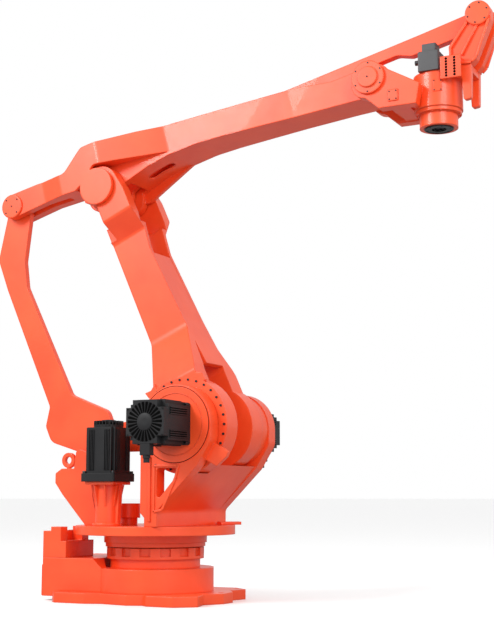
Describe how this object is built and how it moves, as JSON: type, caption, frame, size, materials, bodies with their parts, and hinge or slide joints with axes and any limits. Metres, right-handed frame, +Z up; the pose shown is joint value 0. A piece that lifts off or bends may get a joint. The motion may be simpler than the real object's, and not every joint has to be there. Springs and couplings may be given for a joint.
{
  "type": "palletizing robot arm",
  "caption": "Floor-standing palletizing robot: turret on a slewing base, lower arm, forearm driven through a rear link, level wrist held by parallel rods, turning tool flange.",
  "frame": {"origin": "on the turning axis of the base, at the underside of the base plate (floor level)", "axes": "+X forward, the way the forearm points; +Y to the far side; +Z up along the turning axis"},
  "size_m": [2.4798, 1.11, 2.5413],
  "materials": {
    "paint": "satin",
    "motor_black": "satin",
    "motor_grey": "satin",
    "machined_steel": "satin",
    "flange_black": "satin"
  },
  "bodies": {
    "base": {"base_plate": "paint", "base_casting": "paint", "connection_box": "paint", "connector_panel": "paint", "castellated_ring": "paint"},
    "turret": {"slew_collar": "paint", "swivel_plate": "paint", "front_stop": "paint", "turret_casting": "paint", "shoulder_reducer": "paint", "elbow_reducer": "paint", "shoulder_cover": "paint", "elbow_cover": "paint", "shoulder_motor": "motor_black", "shoulder_fan_cover": "motor_black", "elbow_motor": "motor_black", "elbow_fan_cover": "motor_black", "yaw_motor_stand": "paint", "yaw_motor": "motor_black", "yaw_fan_cover": "motor_black", "reducer_pot": "paint", "lifting_lug": "paint", "lifting_eye": "paint", "tie_rod_post": "paint"},
    "lower_arm": {"lower_arm_casting": "paint"},
    "crank": {"crank_lever": "paint"},
    "crank_pin": {"crank_pin": "machined_steel"},
    "rear_link": {"rear_link": "paint"},
    "elbow_web": {"levelling_web": "paint"},
    "tie_rod": {"tie_rod": "paint"},
    "forearm": {"forearm_casting": "paint"},
    "upper_link": {"upper_link": "paint"},
    "wrist": {"wrist_casting": "paint", "wrist_axle": "paint", "near_strut": "paint", "far_strut": "paint", "wrist_motor": "motor_grey", "wrist_motor_cap": "motor_grey", "connector_plate": "paint", "cheek_cover": "paint"},
    "tool": {"tool_flange": "flange_black"}
  },
  "joints": [
    {"name": "base_turn", "type": "hinge", "parent": "base", "child": "turret", "pos_m": [0, 0, 0.24], "axis": [0, 0, 1], "range_deg": [-180, 180]},
    {"name": "shoulder", "type": "hinge", "parent": "turret", "child": "lower_arm", "pos_m": [0.283, 0, 0.776], "axis": [0, 1, 0], "range_deg": [-13.9, 69.1]},
    {"name": "elbow_drive", "type": "hinge", "parent": "turret", "child": "crank", "pos_m": [0.283, 0, 0.776], "axis": [0, 1, 0], "range_deg": [-4, 39]},
    {"name": "crank_end", "type": "hinge", "parent": "crank", "child": "crank_pin", "pos_m": [-0.21471, 0, 0.73436], "axis": [0, 1, 0], "range_deg": [-39.1, 4.1]},
    {"name": "rear_link_foot", "type": "hinge", "parent": "crank_pin", "child": "rear_link", "pos_m": [-0.21471, 0, 0.73436], "axis": [0, 1, 0], "range_deg": [-14, 69.2]},
    {"name": "elbow_level", "type": "hinge", "parent": "lower_arm", "child": "elbow_web", "pos_m": [-0.22741, 0, 1.91704], "axis": [0, 1, 0], "range_deg": [-69.2, 14]},
    {"name": "tie_rod_foot", "type": "hinge", "parent": "turret", "child": "tie_rod", "pos_m": [0.211, 0, 0.786], "axis": [0, 1, 0], "range_deg": [-14, 69.2]},
    {"name": "elbow", "type": "hinge", "parent": "elbow_web", "child": "forearm", "pos_m": [-0.22741, 0, 1.91704], "axis": [0, 1, 0], "range_deg": [-4.1, 39.1]},
    {"name": "upper_link_foot", "type": "hinge", "parent": "elbow_web", "child": "upper_link", "pos_m": [0.23959, 0, 2.15004], "axis": [0, 1, 0], "range_deg": [-4.1, 39.1]},
    {"name": "wrist_level", "type": "hinge", "parent": "forearm", "child": "wrist", "pos_m": [1.12518, 0, 2.25428], "axis": [0, 1, 0], "range_deg": [-39.1, 4.1]},
    {"name": "tool_turn", "type": "hinge", "parent": "wrist", "child": "tool", "pos_m": [1.38818, 0, 2.02878], "axis": [0, 0, 1], "range_deg": [-300, 300]}
  ],
  "couplings": [
    {"joint": "crank_end", "follows": "elbow_drive", "ratio": -1},
    {"joint": "rear_link_foot", "follows": "shoulder", "ratio": 1},
    {"joint": "elbow_level", "follows": "shoulder", "ratio": -1},
    {"joint": "tie_rod_foot", "follows": "shoulder", "ratio": 1},
    {"joint": "elbow", "follows": "elbow_drive", "ratio": 1},
    {"joint": "upper_link_foot", "follows": "elbow_drive", "ratio": 1},
    {"joint": "wrist_level", "follows": "elbow_drive", "ratio": -1}
  ]
}
